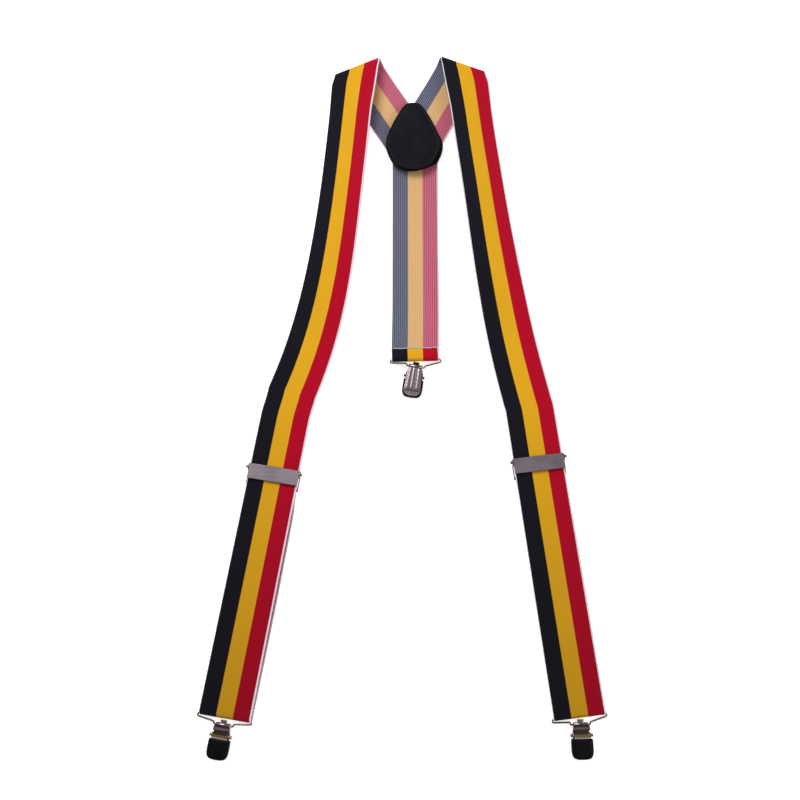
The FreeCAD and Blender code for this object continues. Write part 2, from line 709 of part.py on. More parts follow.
def build():
    nodes = {}
    for side in SIDES:
        at_slider = slider_place(side)
        at_wire = wire_place(side)
        nodes[side + "_back_branch"] = back_branch(side)
        nodes[side + "_shoulder_fold"] = shoulder_fold(side)
        nodes[side + "_chest_run"] = chest_run(side)
        nodes[side + "_lower_run"] = lower_run(side)
        nodes[side + "_bail_wrap"] = placed(bail_wrap(), at_wire)
        nodes[side + "_return_run"] = placed(return_run(side), at_wire)
        nodes[side + "_slider_wrap"] = placed(slider_wrap(), at_slider)
        nodes[side + "_slider_stitching"] = placed(slider_stitching(), at_slider)
        nodes[side + "_slider_frame"] = placed(slider_frame(), at_slider)
        nodes[side + "_slider_pin"] = placed(slider_pin(), at_slider)
        nodes[side + "_slider_lever"] = placed(slider_lever(), at_slider)
        nodes.update(clip_nodes(side, at_wire, WIRE_Z, False))
    nodes["rear_strap"] = rear_strap()
    nodes["rear_bail_wrap"] = placed(rear_wrap(), rear_wrap_place())
    nodes["rear_stitching"] = placed(rear_stitching(), rear_wrap_place())
    nodes.update(clip_nodes("rear", rear_wrap_place(), REAR_WIRE_Z, True))
    top = YOKE_STRAP_Z + THICK + LAYER_GAP
    nodes["yoke_outer_leather"] = yoke_leather(0.0, YOKE_OUTER_SKEW)
    nodes["yoke_inner_leather"] = yoke_leather(top, 0.0)
    nodes["yoke_stitching"] = yoke_stitching(top + LEATHER)
    return nodes


NODES = build()
whole = FreeCAD.BoundBox()
for shape in NODES.values():
    whole.add(shape.BoundBox)
CENTRING = V(-whole.Center.x, -whole.Center.y, -whole.ZMin)
os.makedirs("parts", exist_ok=True)
for name, shape in NODES.items():
    shape.translate(CENTRING)
    shape.exportStep("parts/" + name + ".step")
print("overall", whole.XLength, whole.YLength, whole.ZLength)
print("centring", CENTRING)
for name, shape in NODES.items():
    print(name, shape.isValid(), len(shape.Solids), round(shape.Volume, 1))
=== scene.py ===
import json
import math
import random

import bmesh
import bpy
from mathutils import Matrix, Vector


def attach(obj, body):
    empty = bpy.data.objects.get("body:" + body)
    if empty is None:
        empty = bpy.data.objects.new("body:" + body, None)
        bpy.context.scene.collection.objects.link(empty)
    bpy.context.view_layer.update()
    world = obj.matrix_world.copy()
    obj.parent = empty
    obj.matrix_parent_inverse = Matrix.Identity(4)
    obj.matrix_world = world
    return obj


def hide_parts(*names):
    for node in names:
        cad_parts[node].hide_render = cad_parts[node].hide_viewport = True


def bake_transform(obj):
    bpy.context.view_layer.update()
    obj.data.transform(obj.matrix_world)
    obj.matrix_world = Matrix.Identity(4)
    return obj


# Looks of the suspenders. Shapes are worked out in millimetres and meshed in metres.

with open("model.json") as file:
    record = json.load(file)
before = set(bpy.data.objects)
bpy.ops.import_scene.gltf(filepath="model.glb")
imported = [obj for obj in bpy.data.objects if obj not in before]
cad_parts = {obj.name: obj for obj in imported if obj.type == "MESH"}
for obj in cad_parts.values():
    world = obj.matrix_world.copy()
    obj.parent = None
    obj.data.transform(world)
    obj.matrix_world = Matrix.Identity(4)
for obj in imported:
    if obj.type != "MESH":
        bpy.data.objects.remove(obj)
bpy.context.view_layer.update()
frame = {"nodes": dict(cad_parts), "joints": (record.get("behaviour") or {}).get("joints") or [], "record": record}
JOINTS = {joint["name"]: joint for joint in frame["joints"]}
MM = 0.001
UP = Vector((0, 0, 1))


def joint_point(name):
    """A joint's place, in millimetres."""
    return Vector(JOINTS[name]["pos_m"]) / MM


# ---- webbing ----
WIDTH = 37.3
THICK = 1.3
HALF_T = THICK / 2
STEP = 3.0
WRAP_R = 1.35 + HALF_T
FRONT_MID_Z = 4.0 + HALF_T
RETURN_MID_Z = HALF_T
YOKE_STRAP_MID_Z = 1.5 + HALF_T
FOLD_RADIUS_OUTER = 1.6
FOLD_RADIUS_INNER = 5.4
CURVE_REACH = 90.0

# places in plan below are given in coordinates in which the left slider's pin is here
LEFT_PIN_IN_PLAN = Vector((-94.8, -68.5, 0))
ORIGIN = joint_point("left_lever_lift") - LEFT_PIN_IN_PLAN

SIDES = {
    "left": {
        "sign": -1, "fold_at": (-35.6, 264.5), "fold_angle": 14.0, "front_heading": 6.5,
        "branch_heading": 31.0, "crease_above_slider": 61.0, "crease_heading": 21.5,
        "crease_shift": 1.5, "return_shift": 1.7, "branch_length": 62.0,
    },
    "right": {
        "sign": 1, "fold_at": (48.7, 266.2), "fold_angle": 11.0, "front_heading": 7.5,
        "branch_heading": 28.0, "crease_above_slider": 45.0, "crease_heading": 13.5,
        "crease_shift": 0.7, "return_shift": 1.0, "branch_length": 60.0,
    },
}
MID_ROLL = 22.0
CHEST_LENGTH = 290.0
CHEST_STEPS = 92
FOLD_STEPS = 20
TABLE_PLAY = 0.25
EDGE_WAVE = 0.25
EDGE_WAVES = 19.0
PINCH = 2.3
PINCH_BEFORE = 4.0
PINCH_LENGTH = 20.0
FOLD_EDGE_RUN = 2.0
BRANCH_END_SLANT = 24.0
WRAP_STEPS = 14
WRAP_RETURN = (2.0, 4.0, 6.0)

# shares of the branch's length, from its cut end, over which it comes down to the table
BRANCH_FALL_FROM = 0.25
BRANCH_FALL_OVER = 0.45

# shares of the chest run's length, from the fold to the crease
SQUARE_BY = 0.085
STANDING_BY = 0.16
OUTER_EDGE_DOWN_BY = 0.22
WAVES_FADE_OVER = 0.2
LIE_DOWN_FROM = 0.34
LIE_DOWN_OVER = 0.62
LIFT_FROM = 0.72
LIFT_OVER = 0.28
MITRE_FROM = 0.96
MITRE_OVER = 0.04

# ---- sliders and the hidden layer below them ----
SLIDER_RISE = 36.0
SLIDER_CLEAR = 4.0
SLIDER_TURN_BELOW_PIN = 9.8
SLIDER_TURN_Z = 1.9
SLIDER_TURN_R = 0.6 + HALF_T
SLIDER_TURN_STEPS = 12
SLIDER_TAIL = 13.7
SLIDER_TAIL_STEPS = 5
RETURN_BEGIN = 6.3
RETURN_PATTERN_START = 640.0

# ---- rear strap ----
REAR_WIDTH = 36.4
REAR_X = 10.2
REAR_TOP_Y = 195.0
REAR_TAIL = 8.2
REAR_TAIL_STEPS = 6
REAR_TAIL_GAP = 0.15
REAR_RAMP_BEGIN = 22
REAR_RAMP_LENGTH = 26
TAIL_STITCHES = 17

# shares of the rear strap's length over which it meets its wire
REAR_ASIDE_FROM = 0.75
REAR_ASIDE_OVER = 0.25
REAR_LEVEL_FROM = 0.72
REAR_TURN_FROM = 0.8
REAR_TURN_OVER = 0.2

# ---- yoke ----
YOKE_AT = (8.6, 203.4)
YOKE_HEIGHT = 59.0
YOKE_HALF_WIDTH = 21.8
LEATHER = 1.3
INNER_LEATHER_Z = 3.0
INNER_SHAPE = [(0.28, 0.94), (0.53, 0.68), (0.81, 0.27), (0.985, -0.13), (0.95, -0.45),
               (0.74, -0.77), (0.41, -0.95)]
OUTER_SHAPE = [(0.28, 0.92), (0.54, 0.66), (0.85, 0.24), (1.07, -0.12), (1.09, -0.32),
               (1.02, -0.54), (0.88, -0.77), (0.82, -0.79), (0.42, -0.93)]
STITCH_INSET = 2.5
STITCH_PITCH = 3.1
STITCH_SHARE = 0.7
RIM_INSET = 4.6
RIM_LEVEL = 1.04
SEAM_LEVEL = 0.84
CROWN_STEPS = 9


def heading_vector(degrees):
    """Down the table (-y), turned this far towards +x."""
    angle = math.radians(degrees)
    return Vector((math.sin(angle), -math.cos(angle), 0))


def smooth(t):
    t = min(1.0, max(0.0, t))
    return t * t * (3 - 2 * t)


def mix(a, b, t):
    return a * (1 - t) + b * t


def in_plan(v):
    return Vector((v.x, v.y, 0))


# ======== meshes ========

def add_object(name, data):
    obj = bpy.data.objects.new(name, data)
    bpy.context.scene.collection.objects.link(obj)
    return obj


def new_object(name, verts, faces, attributes=None, smooth_shading=True):
    """A mesh object from millimetre coordinates, with outward normals."""
    mesh = bpy.data.meshes.new(name)
    mesh.from_pydata([tuple(v * MM for v in p) for p in verts], [], faces)
    if attributes:
        for key, values in attributes.items():
            layer = mesh.attributes.new(key, "FLOAT_VECTOR", "POINT")
            layer.data.foreach_set("vector", [c * MM for v in values for c in v])
    bm = bmesh.new()
    bm.from_mesh(mesh)
    bmesh.ops.recalc_face_normals(bm, faces=bm.faces)
    bm.to_mesh(mesh)
    bm.free()
    for polygon in mesh.polygons:
        polygon.use_smooth = smooth_shading
    mesh.validate()
    return add_object(name, mesh)


def ring_faces(rings, around, base=0, closed=False):
    """Quads between one ring of vertices and the next; closed joins the last ring to the first."""
    faces = []
    for k in range(rings if closed else rings - 1):
        low = base + k * around
        high = base + (k + 1) % rings * around
        for i in range(around):
            j = (i + 1) % around
            faces.append((low + i, low + j, high + j, high + i))
    return faces


def fan(first, around, middle):
    """Triangles from a ring of vertices to one in its middle."""
    return [(first + i, first + (i + 1) % around, middle) for i in range(around)]


def circle(around, radius):
    """Evenly spaced points of a circle, as pairs."""
    for k in range(around):
        angle = 2 * math.pi * k / around
        yield radius * math.cos(angle), radius * math.sin(angle)


def across_positions():
    """Places across the strap, from the black edge to the red one, closest together at the edges."""
    half = WIDTH / 2
    edge = [half - a for a in (0.0, 0.1, 0.3, 0.6, 1.0, 1.5, 2.2)]
    middle = [11.5, 7.8, 4.0]
    right = [0.0] + list(reversed(middle)) + list(reversed(edge))
    return [-x for x in reversed(right[1:])] + right


def thickness_factor(x):
    """The woven edge is a slightly thicker bead with a shallow groove beside it."""
    a = WIDTH / 2 - abs(x)
    bead = 0.6
    if a < bead:
        return 1.1 * math.sqrt(max(0.0, 1 - ((bead - a) / bead) ** 2))
    return 1.0 + 0.1 * math.exp(-((a - bead) / 0.35) ** 2) - 0.06 * math.exp(-((a - 1.5) / 0.4) ** 2)


def ribbon(name, sections, start_length=0.0):
    """Closed strap through sections of (black edge, red edge, direction that the face looks)."""
    places = across_positions()
    count = len(places)
    centres = [(black + red) / 2 for black, red, _ in sections]
    verts = []
    strap = []
    rings = []
    run = start_length
    for i, (black, red, normal) in enumerate(sections):
        before = centres[max(0, i - 1)]
        after = centres[min(len(centres) - 1, i + 1)]
        forward = (after - before).normalized()
        if i > 0:
            run += (centres[i] - centres[i - 1]).length
        edge = red - black
        along = edge.dot(forward)
        top = []
        bottom = []
        for j, x in enumerate(places):
            q = x / (WIDTH / 2)
            base = centres[i] + edge * (q / 2)
            rise = normal * (HALF_T * thickness_factor(x))
            here = (q * WIDTH / 2, run + q * along / 2)
            ends = j in (0, count - 1)
            top.append(len(verts))
            verts.append(base + rise)
            strap.append((here[0], here[1], 0.0 if ends else 1.0))
            if ends:
                bottom.append(top[-1])
                continue
            bottom.append(len(verts))
            verts.append(base - rise)
            strap.append((here[0], here[1], -1.0))
        rings.append((top, bottom))
    faces = []
    for (t0, b0), (t1, b1) in zip(rings, rings[1:]):
        for j in range(count - 1):
            faces.append((t0[j], t0[j + 1], t1[j + 1], t1[j]))
            faces.append((b0[j], b1[j], b1[j + 1], b0[j + 1]))
    for top, bottom in (rings[0], rings[-1]):
        for j in range(count - 1):
            cap = [top[j], top[j + 1], bottom[j + 1], bottom[j]]
            faces.append(tuple(dict.fromkeys(cap)))
    obj = new_object(name, verts, faces, {"strap": strap})
    obj["strap_length_mm"] = run - start_length
    return obj


def flat_section(centre, right, normal, half=WIDTH / 2):
    return (centre - right * half, centre + right * half, normal)


# ---- front straps ----
def fold_pinch(distance):
    """How far the outer edge draws in, this far along the strap from the fold's end."""
    return PINCH * (1 - smooth((distance + PINCH_BEFORE) / PINCH_LENGTH))


def fold_edges(side, turn, pinched=1.0):
    """Outer and inner edge of the strap and its outward direction, part way round the shoulder fold."""
    spec = SIDES[side]
    angle = math.radians(spec["fold_angle"])
    along = Vector((-spec["sign"] * math.cos(angle), math.sin(angle), 0))
    outward = Vector((spec["sign"] * math.sin(angle), math.cos(angle), 0))
    slant = math.radians(spec["fold_angle"] + spec["front_heading"])
    half = WIDTH / 2 / math.cos(slant)
    mean = (FOLD_RADIUS_OUTER + FOLD_RADIUS_INNER + THICK) / 2
    shift = -(turn - math.pi / 2) * mean * math.tan(slant)
    origin = Vector((*spec["fold_at"], 0)) + in_plan(ORIGIN)
    points = []
    pinch = pinched * fold_pinch(FOLD_EDGE_RUN * math.cos(turn) ** 2)
    for a, radius in ((-half + pinch, FOLD_RADIUS_OUTER), (half, FOLD_RADIUS_INNER)):
        reach = radius + HALF_T
        height = radius + THICK - reach * math.cos(turn)
        points.append(origin + along * (a + shift) + outward * (reach * math.sin(turn)) + UP * height)
    return points[0], points[1], outward * math.sin(turn) - UP * math.cos(turn)


def black_red(side, outer, inner, normal):
    if side == "left":
        return (outer, inner, normal)
    return (inner, outer, normal)


def branch_sections(side):
    """From the slanted end under the yoke up to the shoulder fold; wrong side up."""
    spec = SIDES[side]
    outer, inner, _ = fold_edges(side, 0.0, 0.0)
    middle = (outer + inner) / 2
    down = heading_vector(-spec["sign"] * spec["branch_heading"])
    square = UP.cross(down) * -spec["sign"]
    slant = math.radians(BRANCH_END_SLANT)
    end_middle = middle + down * spec["branch_length"]
    reach = WIDTH / 2 * math.tan(slant)
    end_outer = end_middle - square * (WIDTH / 2) + down * reach
    end_inner = end_middle + square * (WIDTH / 2) - down * reach
    count = int(spec["branch_length"] / STEP)
    sections = []
    for i in range(count):
        t = i / count
        a = end_outer.lerp(outer, t)
        b = end_inner.lerp(inner, t)
        fall = smooth((t - BRANCH_FALL_FROM) / BRANCH_FALL_OVER)
        height = mix(YOKE_STRAP_MID_Z, HALF_T, fall)
        a.z = height
        b.z = height
        to_fold = FOLD_EDGE_RUN + (1 - t) * spec["branch_length"]
        a += (b - a).normalized() * (fold_pinch(to_fold) * smooth(3 * t - 1))
        sections.append(black_red(side, a, b, -UP))
    return sections


def crease_frame(side):
    """The soft crease above the slider: its middle, the strap's direction below it, the mitre line."""
    spec = SIDES[side]
    down = Vector(JOINTS[side + "_strap_length"]["axis"]).normalized()
    heading = math.degrees(math.atan2(abs(down.x), -down.y))
    pin = joint_point(side + "_lever_lift")
    middle = in_plan(pin) - down * spec["crease_above_slider"]
    middle += Vector((-spec["sign"] * spec["crease_shift"], 0, 0))
    between = (heading + spec["crease_heading"]) / 2
    half_turn = math.radians(spec["crease_heading"] - heading) / 2
    mitre = UP.cross(heading_vector(spec["sign"] * between)) / math.cos(half_turn)
    return middle, down, mitre


def chest_sections(side):
    """Face up from the fold to the crease: the outer edge lies on the table, the inner edge stands up."""
    spec = SIDES[side]
    outer, inner, _ = fold_edges(side, math.pi, 0.0)
    start = (outer + inner) / 2
    start_roll = math.asin((inner.z - outer.z) / (inner - outer).length)
    end, _, mitre = crease_frame(side)
    start_flat = in_plan(start)
    first = start_flat + heading_vector(spec["sign"] * spec["front_heading"]) * CURVE_REACH
    last = end - heading_vector(spec["sign"] * spec["crease_heading"]) * CURVE_REACH
    sections = []
    fold_line = in_plan(inner - outer)
    for i in range(1, CHEST_STEPS + 1):
        t = i / CHEST_STEPS
        s = 1 - t
        centre = start_flat * s ** 3 + first * 3 * s * s * t + last * 3 * s * t * t + end * t ** 3
        tangent = (first - start_flat) * s * s + (last - first) * 2 * s * t + (end - last) * t * t
        tangent.normalize()
        square = UP.cross(tangent) * -spec["sign"]
        settle = smooth(t / SQUARE_BY)
        towards_inner = fold_line.normalized() * (1 - settle) + square * settle
        towards_inner *= 1 / towards_inner.normalized().dot(square) / towards_inner.length
        mitre_in = mitre * -spec["sign"]
        towards_inner = towards_inner.lerp(mitre_in, smooth((t - MITRE_FROM) / MITRE_OVER))
        rise = mix(start_roll, math.radians(MID_ROLL), smooth(t / STANDING_BY))
        roll = rise * (1 - smooth((t - LIE_DOWN_FROM) / LIE_DOWN_OVER))
        low = mix(outer.z, HALF_T + TABLE_PLAY, smooth(t / OUTER_EDGE_DOWN_BY))
        low = mix(low, FRONT_MID_Z, smooth((t - LIFT_FROM) / LIFT_OVER))
        wave = EDGE_WAVE * math.sin(EDGE_WAVES * t + spec["sign"])
        low += wave * smooth(t / WAVES_FADE_OVER) * smooth((1 - t) / WAVES_FADE_OVER)
        level = towards_inner * math.cos(roll) + UP * math.sin(roll) * towards_inner.length
        normal = (UP * math.cos(roll) - square * math.sin(roll)).normalized()
        a = centre - in_plan(level) * (WIDTH / 2)
        a.z = low
        b = a + level * WIDTH
        a += level * fold_pinch(FOLD_EDGE_RUN + t * CHEST_LENGTH)
        sections.append(black_red(side, a, b, normal))
    return sections


def lower_sections(side):
    """Face up, straight from the crease to the wire, round it and a little way back."""
    spec = SIDES[side]
    middle, down, mitre = crease_frame(side)
    right = UP.cross(down)
    wire = joint_point(side + "_bail_swing")
    wire_flat = in_plan(wire)
    length = (wire_flat - middle).dot(down)
    aside = middle + down * length - wire_flat
    straight_from = spec["crease_above_slider"] - SLIDER_RISE - SLIDER_CLEAR
    count = int(length / STEP)
    sections = []
    for i in range(1, count + 1):
        t = i / count
        straighten = smooth(length * t / straight_from)
        centre = middle + down * (length * t) - aside * straighten + UP * FRONT_MID_Z
        side_line = mitre.lerp(right, smooth(i / 3))
        sections.append(flat_section(centre, side_line, UP))
    skew = spec["return_shift"] / 2
    for i in range(1, WRAP_STEPS + 1):
        angle = math.pi * i / WRAP_STEPS
        out = down * math.sin(angle) + UP * math.cos(angle)
        centre = wire_flat + UP * wire.z + out * WRAP_R + right * (skew * i / WRAP_STEPS)
        sections.append(flat_section(centre, right, out))
    for back in WRAP_RETURN:
        centre = wire_flat - down * back + right * skew + UP * RETURN_MID_Z
        sections.append(flat_section(centre, right, -UP))
    return sections


def front_strap(side):
    sections = branch_sections(side)
    for i in range(FOLD_STEPS + 1):
        outer, inner, normal = fold_edges(side, math.pi * i / FOLD_STEPS)
        sections.append(black_red(side, outer, inner, normal))
    sections += chest_sections(side)
    sections += lower_sections(side)
    return ribbon(side + "_front_strap", sections)


def return_strap(side):
    """Hidden back layer, face down, from the wire up to the slider's bar, round it and down again."""
    spec = SIDES[side]
    _, down, _ = crease_frame(side)
    right = UP.cross(down)
    wire = joint_point(side + "_bail_swing")
    pin = joint_point(side + "_lever_lift")
    wire_flat = in_plan(wire)
    turn = in_plan(pin) + down * SLIDER_TURN_BELOW_PIN
    length = (turn - wire_flat).length
    shift = spec["return_shift"]
    sections = []
    count = int((length - RETURN_BEGIN) / STEP)
    for i in range(count + 1):
        t = i / count
        lateral = shift / 2 + shift / 2 * math.sin(math.pi * min(1.0, t * 0.9))
        lateral *= 1 - smooth((t - 0.86) / 0.14)
        centre = wire_flat - down * mix(RETURN_BEGIN, length, t) + right * lateral + UP * RETURN_MID_Z
        sections.append(flat_section(centre, right, -UP))
    for i in range(1, SLIDER_TURN_STEPS + 1):
        angle = math.pi * i / SLIDER_TURN_STEPS
        out = -down * math.sin(angle) - UP * math.cos(angle)
        sections.append(flat_section(turn + UP * SLIDER_TURN_Z + out * SLIDER_TURN_R, right, out))
    tail_z = SLIDER_TURN_Z + SLIDER_TURN_R
    for i in range(1, SLIDER_TAIL_STEPS + 1):
        centre = turn + down * (SLIDER_TAIL * i / SLIDER_TAIL_STEPS) + UP * tail_z
        sections.append(flat_section(centre, right, UP))
    return ribbon(side + "_return_strap", sections, RETURN_PATTERN_START)


# ---- rear strap ----
def rear_frame():
    """The rear wire's place, and the directions across and down the strap's end."""
    wire = joint_point("rear_bail_swing")
    axis = Vector(JOINTS["rear_bail_swing"]["axis"])
    right = -axis.normalized()
    return wire, right, right.cross(UP)


def rear_tail_point(back, rise=0.0):
    """A point over the turned-up end, measured back from the wire, on its middle surface."""
    wire, _, down = rear_frame()
    drop = (2 * WRAP_R - THICK - REAR_TAIL_GAP) * smooth(back / REAR_TAIL)
    return wire - down * back + UP * (WRAP_R - drop + rise)


def rear_sections():
    """Wrong side up from the yoke to the rear wire, round it, and the end turned up over itself."""
    wire, right, down = rear_frame()
    top_y = ORIGIN.y + REAR_TOP_Y
    half = REAR_WIDTH / 2
    low = wire.z - WRAP_R
    straight_end = wire - down * 1.0
    sections = []
    count = int((top_y - straight_end.y) / STEP)
    for i in range(count + 1):
        t = i / count
        y = mix(top_y, straight_end.y, t)
        x = mix(ORIGIN.x + REAR_X, straight_end.x, smooth((t - REAR_ASIDE_FROM) / REAR_ASIDE_OVER))
        ramp = smooth((top_y - REAR_RAMP_BEGIN - y) / REAR_RAMP_LENGTH)
        height = mix(YOKE_STRAP_MID_Z, HALF_T + 0.05, ramp)
        height = mix(height, low, smooth((t - REAR_LEVEL_FROM) / REAR_TURN_OVER))
        line = Vector((1, 0, 0)).lerp(right, smooth((t - REAR_TURN_FROM) / REAR_TURN_OVER))
        sections.append(flat_section(Vector((x, y, height)), line.normalized(), -UP, half))
    for i in range(1, WRAP_STEPS + 1):
        angle = math.pi * i / WRAP_STEPS
        out = down * math.sin(angle) - UP * math.cos(angle)
        sections.append(flat_section(wire + out * WRAP_R, right, out, half))
    for i in range(1, REAR_TAIL_STEPS + 1):
        back = REAR_TAIL * i / REAR_TAIL_STEPS
        ahead = rear_tail_point(back - 0.1)
        behind = rear_tail_point(back + 0.1)
        slope = (behind - ahead).normalized()
        sections.append(flat_section(rear_tail_point(back), right, right.cross(slope).normalized(), half))
    return sections


# ---- yoke ----
def closed_curve(points, per_span=12):
    """Smooth closed outline through the points."""
    total = len(points)
    curve = []
    for i in range(total):
        p0, p1, p2, p3 = (points[(i + k) % total] for k in (-1, 0, 1, 2))
        for j in range(per_span):
            t = j / per_span
            curve.append((p1 * 2 + (p2 - p0) * t + (p0 * 2 - p1 * 5 + p2 * 4 - p3) * t * t
                          + (p1 * 3 - p0 - p2 * 3 + p3) * t ** 3) / 2)
    return curve


def yoke_outline(right_shape, left_shape):
    """Rounded triangle from the shape of each side, given in shares of the yoke's half sizes."""
    h = YOKE_HEIGHT / 2
    right = [Vector((x * YOKE_HALF_WIDTH, y * h, 0)) for x, y in right_shape]
    left = [Vector((-x * YOKE_HALF_WIDTH, y * h, 0)) for x, y in reversed(left_shape)]
    return closed_curve([Vector((0, h, 0))] + right + [Vector((0, -h, 0))] + left)


def yoke_leather(name, outline, bottom, puff):
    """Leather piece with a rounded rim, a pressed seam line and a slightly swollen middle."""
    top = [(0.0, 0.3), (0.0, 0.62), (0.12, 0.84), (0.38, 0.97), (0.9, 1.0), (1.7, 0.97),
           (2.3, SEAM_LEVEL), (2.8, SEAM_LEVEL), (3.4, 0.98), (RIM_INSET, RIM_LEVEL)]
    rows = [(0.5, 0.0), (0.15, 0.05)] + top
    centre = ORIGIN + Vector((*YOKE_AT, 0))
    count = len(outline)
    verts = []
    for inset, level in rows:
        for p in outline:
            r = p.length
            q = p * ((r - inset) / r)
            verts.append(centre + Vector((q.x, q.y, bottom + LEATHER * level)))
    middle_z = bottom + LEATHER * RIM_LEVEL
    for k in range(1, CROWN_STEPS):
        share = 1 - k / CROWN_STEPS
        swell = puff * smooth(1.25 - share)
        for p in outline:
            q = p * ((p.length - RIM_INSET) / p.length * share)
            soft = 0.12 * math.sin(q.x * 0.55 + 1.0) * math.sin(q.y * 0.4) * swell / max(puff, 0.01)
            verts.append(centre + Vector((q.x, q.y, middle_z + swell + soft)))
    ring_count = len(verts) // count
    verts.append(centre + Vector((0, 0, middle_z + puff)))
    verts.append(centre + Vector((0, 0, bottom)))
    faces = ring_faces(ring_count, count) + fan((ring_count - 1) * count, count, len(verts) - 2)
    return new_object(name, verts, faces + fan(0, count, len(verts) - 1))


def stitches(name, places, radius, lift):
    """Thread stitches: one capsule, dipping at both ends, for every (start, end) pair."""
    verts = []
    faces = []
    rings = 7
    around = 8
    for start, end in places:
        along = end - start
        square = UP.cross(along).normalized()
        base = len(verts)
        for k in range(rings):
            t = k / (rings - 1)
            girth = radius * math.sqrt(max(0.03, 1 - (2 * t - 1) ** 4))
            middle = start + along * t + UP * (lift * (1 - (2 * t - 1) ** 2))
            verts += [middle + square * a + UP * b for a, b in circle(around, girth)]
        faces += ring_faces(rings, around, base)
        faces.append(tuple(base + i for i in range(around)))
        faces.append(tuple(base + (rings - 1) * around + i for i in range(around)))
    return new_object(name, verts, faces)


def seam_places(outline, z):
    """Stitch ends spaced evenly along the yoke's seam."""
    centre = ORIGIN + Vector((*YOKE_AT, z))
    inner = [p * ((p.length - STITCH_INSET) / p.length) for p in outline]
    lengths = [0.0]
    for a, b in zip(inner, inner[1:] + inner[:1]):
        lengths.append(lengths[-1] + (b - a).length)
    count = round(lengths[-1] / STITCH_PITCH)

    def at(distance):
        distance %= lengths[-1]
        i = next(k for k in range(len(inner)) if lengths[k + 1] >= distance)
        t = (distance - lengths[i]) / (lengths[i + 1] - lengths[i])
        return centre + inner[i].lerp(inner[(i + 1) % len(inner)], t)

    pitch = lengths[-1] / count
    return [(at(i * pitch), at((i + STITCH_SHARE) * pitch)) for i in range(count)]


def tail_places(count, back, fill, rise, wander):
    """Stitch ends in a slightly uneven row across the rear strap's turned-up end."""
    _, right, _ = rear_frame()
    places = []
    chance = random.Random(7 + count)
    span = REAR_WIDTH - 2.4
    for i in range(count):
        x0 = -span / 2 + span * i / count
        x1 = x0 + span / count * fill
        ends = []
        for x in (x0, x1):
            here = back + chance.uniform(-wander, wander)
            ends.append(rear_tail_point(here, HALF_T + rise) + right * x)
        places.append(tuple(ends))
    return places


# ---- wire bails and clips ----
CLIPS = ("left", "right", "rear")
CLIP_HEIGHT = 7.4
BAIL_DROP = 7.2
BAIL_BAR_HALF = 6.5
BAIL_STEP_HALF = 7.4
BAIL_STEP_RISE = 1.6
BAIL_HALF = 20.1
BAIL_SIDE = 4.5
BAIL_RADII = [0.9, 0.9, 1.8, 2.2]
WIRE_R = 0.64
WIRE_STEP = 1.2
SHEET = 0.8
PIN_Y = -7.2
PIN_Z = 4.2
BARREL_Z = 1.6
CHEEK_X = (4.3, 5.1)
EAR_X = (5.5, 6.3)
EAR_PROFILE = ((5.5, 1.85), (5.62, 2.0), (6.18, 2.0), (6.3, 1.85))
BARREL_PROFILE = ((-5.2, 1.4), (-5.05, 1.58), (5.05, 1.58), (5.2, 1.4))


def clip_axes(name):
    """Across the clip and down it, in plan; a clip may hang a little askew on its bail."""
    right = -Vector(JOINTS[name + "_clip_swing"]["axis"]).normalized()
    return right, right.cross(UP)


def clip_place(name):
    """Turns a clip's own (across, up the strap, height) into the common frame."""
    right, down = clip_axes(name)
    bar = joint_point(name + "_clip_swing")
    flip = name == "rear"

    def place(x, y, z):
        if flip:
            return Vector((bar.x, bar.y, CLIP_HEIGHT - z)) - right * x - down * y
        return Vector((bar.x, bar.y, z)) + right * x - down * y

    return place


def rounded_path(points, radii, steps=8):
    """Closed path through the corners, each turned with a tangent arc."""
    path = []
    total = len(points)
    for i, radius in enumerate(radii):
        before = (points[i - 1] - points[i]).normalized()
        after = (points[(i + 1) % total] - points[i]).normalized()
        turn = math.pi - before.angle(after)
        setback = radius * math.tan(turn / 2)
        a = points[i] + before * setback
        b = points[i] + after * setback
        centre = points[i] + (before + after).normalized() * (radius / math.cos(turn / 2))
        for k in range(steps + 1):
            t = k / steps
            spoke = (a - centre).slerp(b - centre, t)
            path.append(centre + spoke)
    return path


def wire_loop(name, path, radius, around=14):
    """Closed round wire along a flat path; the last of the path joins the first."""
    fine = []
    for a, b in zip(path, path[1:] + path[:1]):
        pieces = max(1, round((b - a).length / WIRE_STEP))
        fine += [a.lerp(b, k / pieces) for k in range(pieces)]
    total = len(fine)
    plane = (fine[total // 3] - fine[0]).cross(fine[2 * total // 3] - fine[0]).normalized()
    verts = []
    for i in range(total):
        along = (fine[(i + 1) % total] - fine[i - 1]).normalized()
        out = along.cross(plane)
        verts += [fine[i] + out * a + plane * b for a, b in circle(around, radius)]
    return new_object(name, verts, ring_faces(total, around, closed=True))


def bail(name):
    """The wire: straight where the strap turns round it, narrowing to the bar that the clip hangs on."""
    along, _ = clip_axes(name)
    right = -Vector(JOINTS[name + "_bail_swing"]["axis"]).normalized()
    wire = joint_point(name + "_bail_swing")
    bar = joint_point(name + "_clip_swing")
    drop = (bar - wire) / BAIL_DROP

    def side_corners(s):
        end = wire + right * (s * BAIL_HALF)
        step = bar + along * (s * BAIL_STEP_HALF) - drop * BAIL_STEP_RISE
        return [bar + along * (s * BAIL_BAR_HALF), step, end + drop * BAIL_SIDE, end]

    corners = side_corners(1) + side_corners(-1)[::-1]
    return wire_loop(name + "_bail", rounded_path(corners, BAIL_RADII + BAIL_RADII[::-1]), WIRE_R)


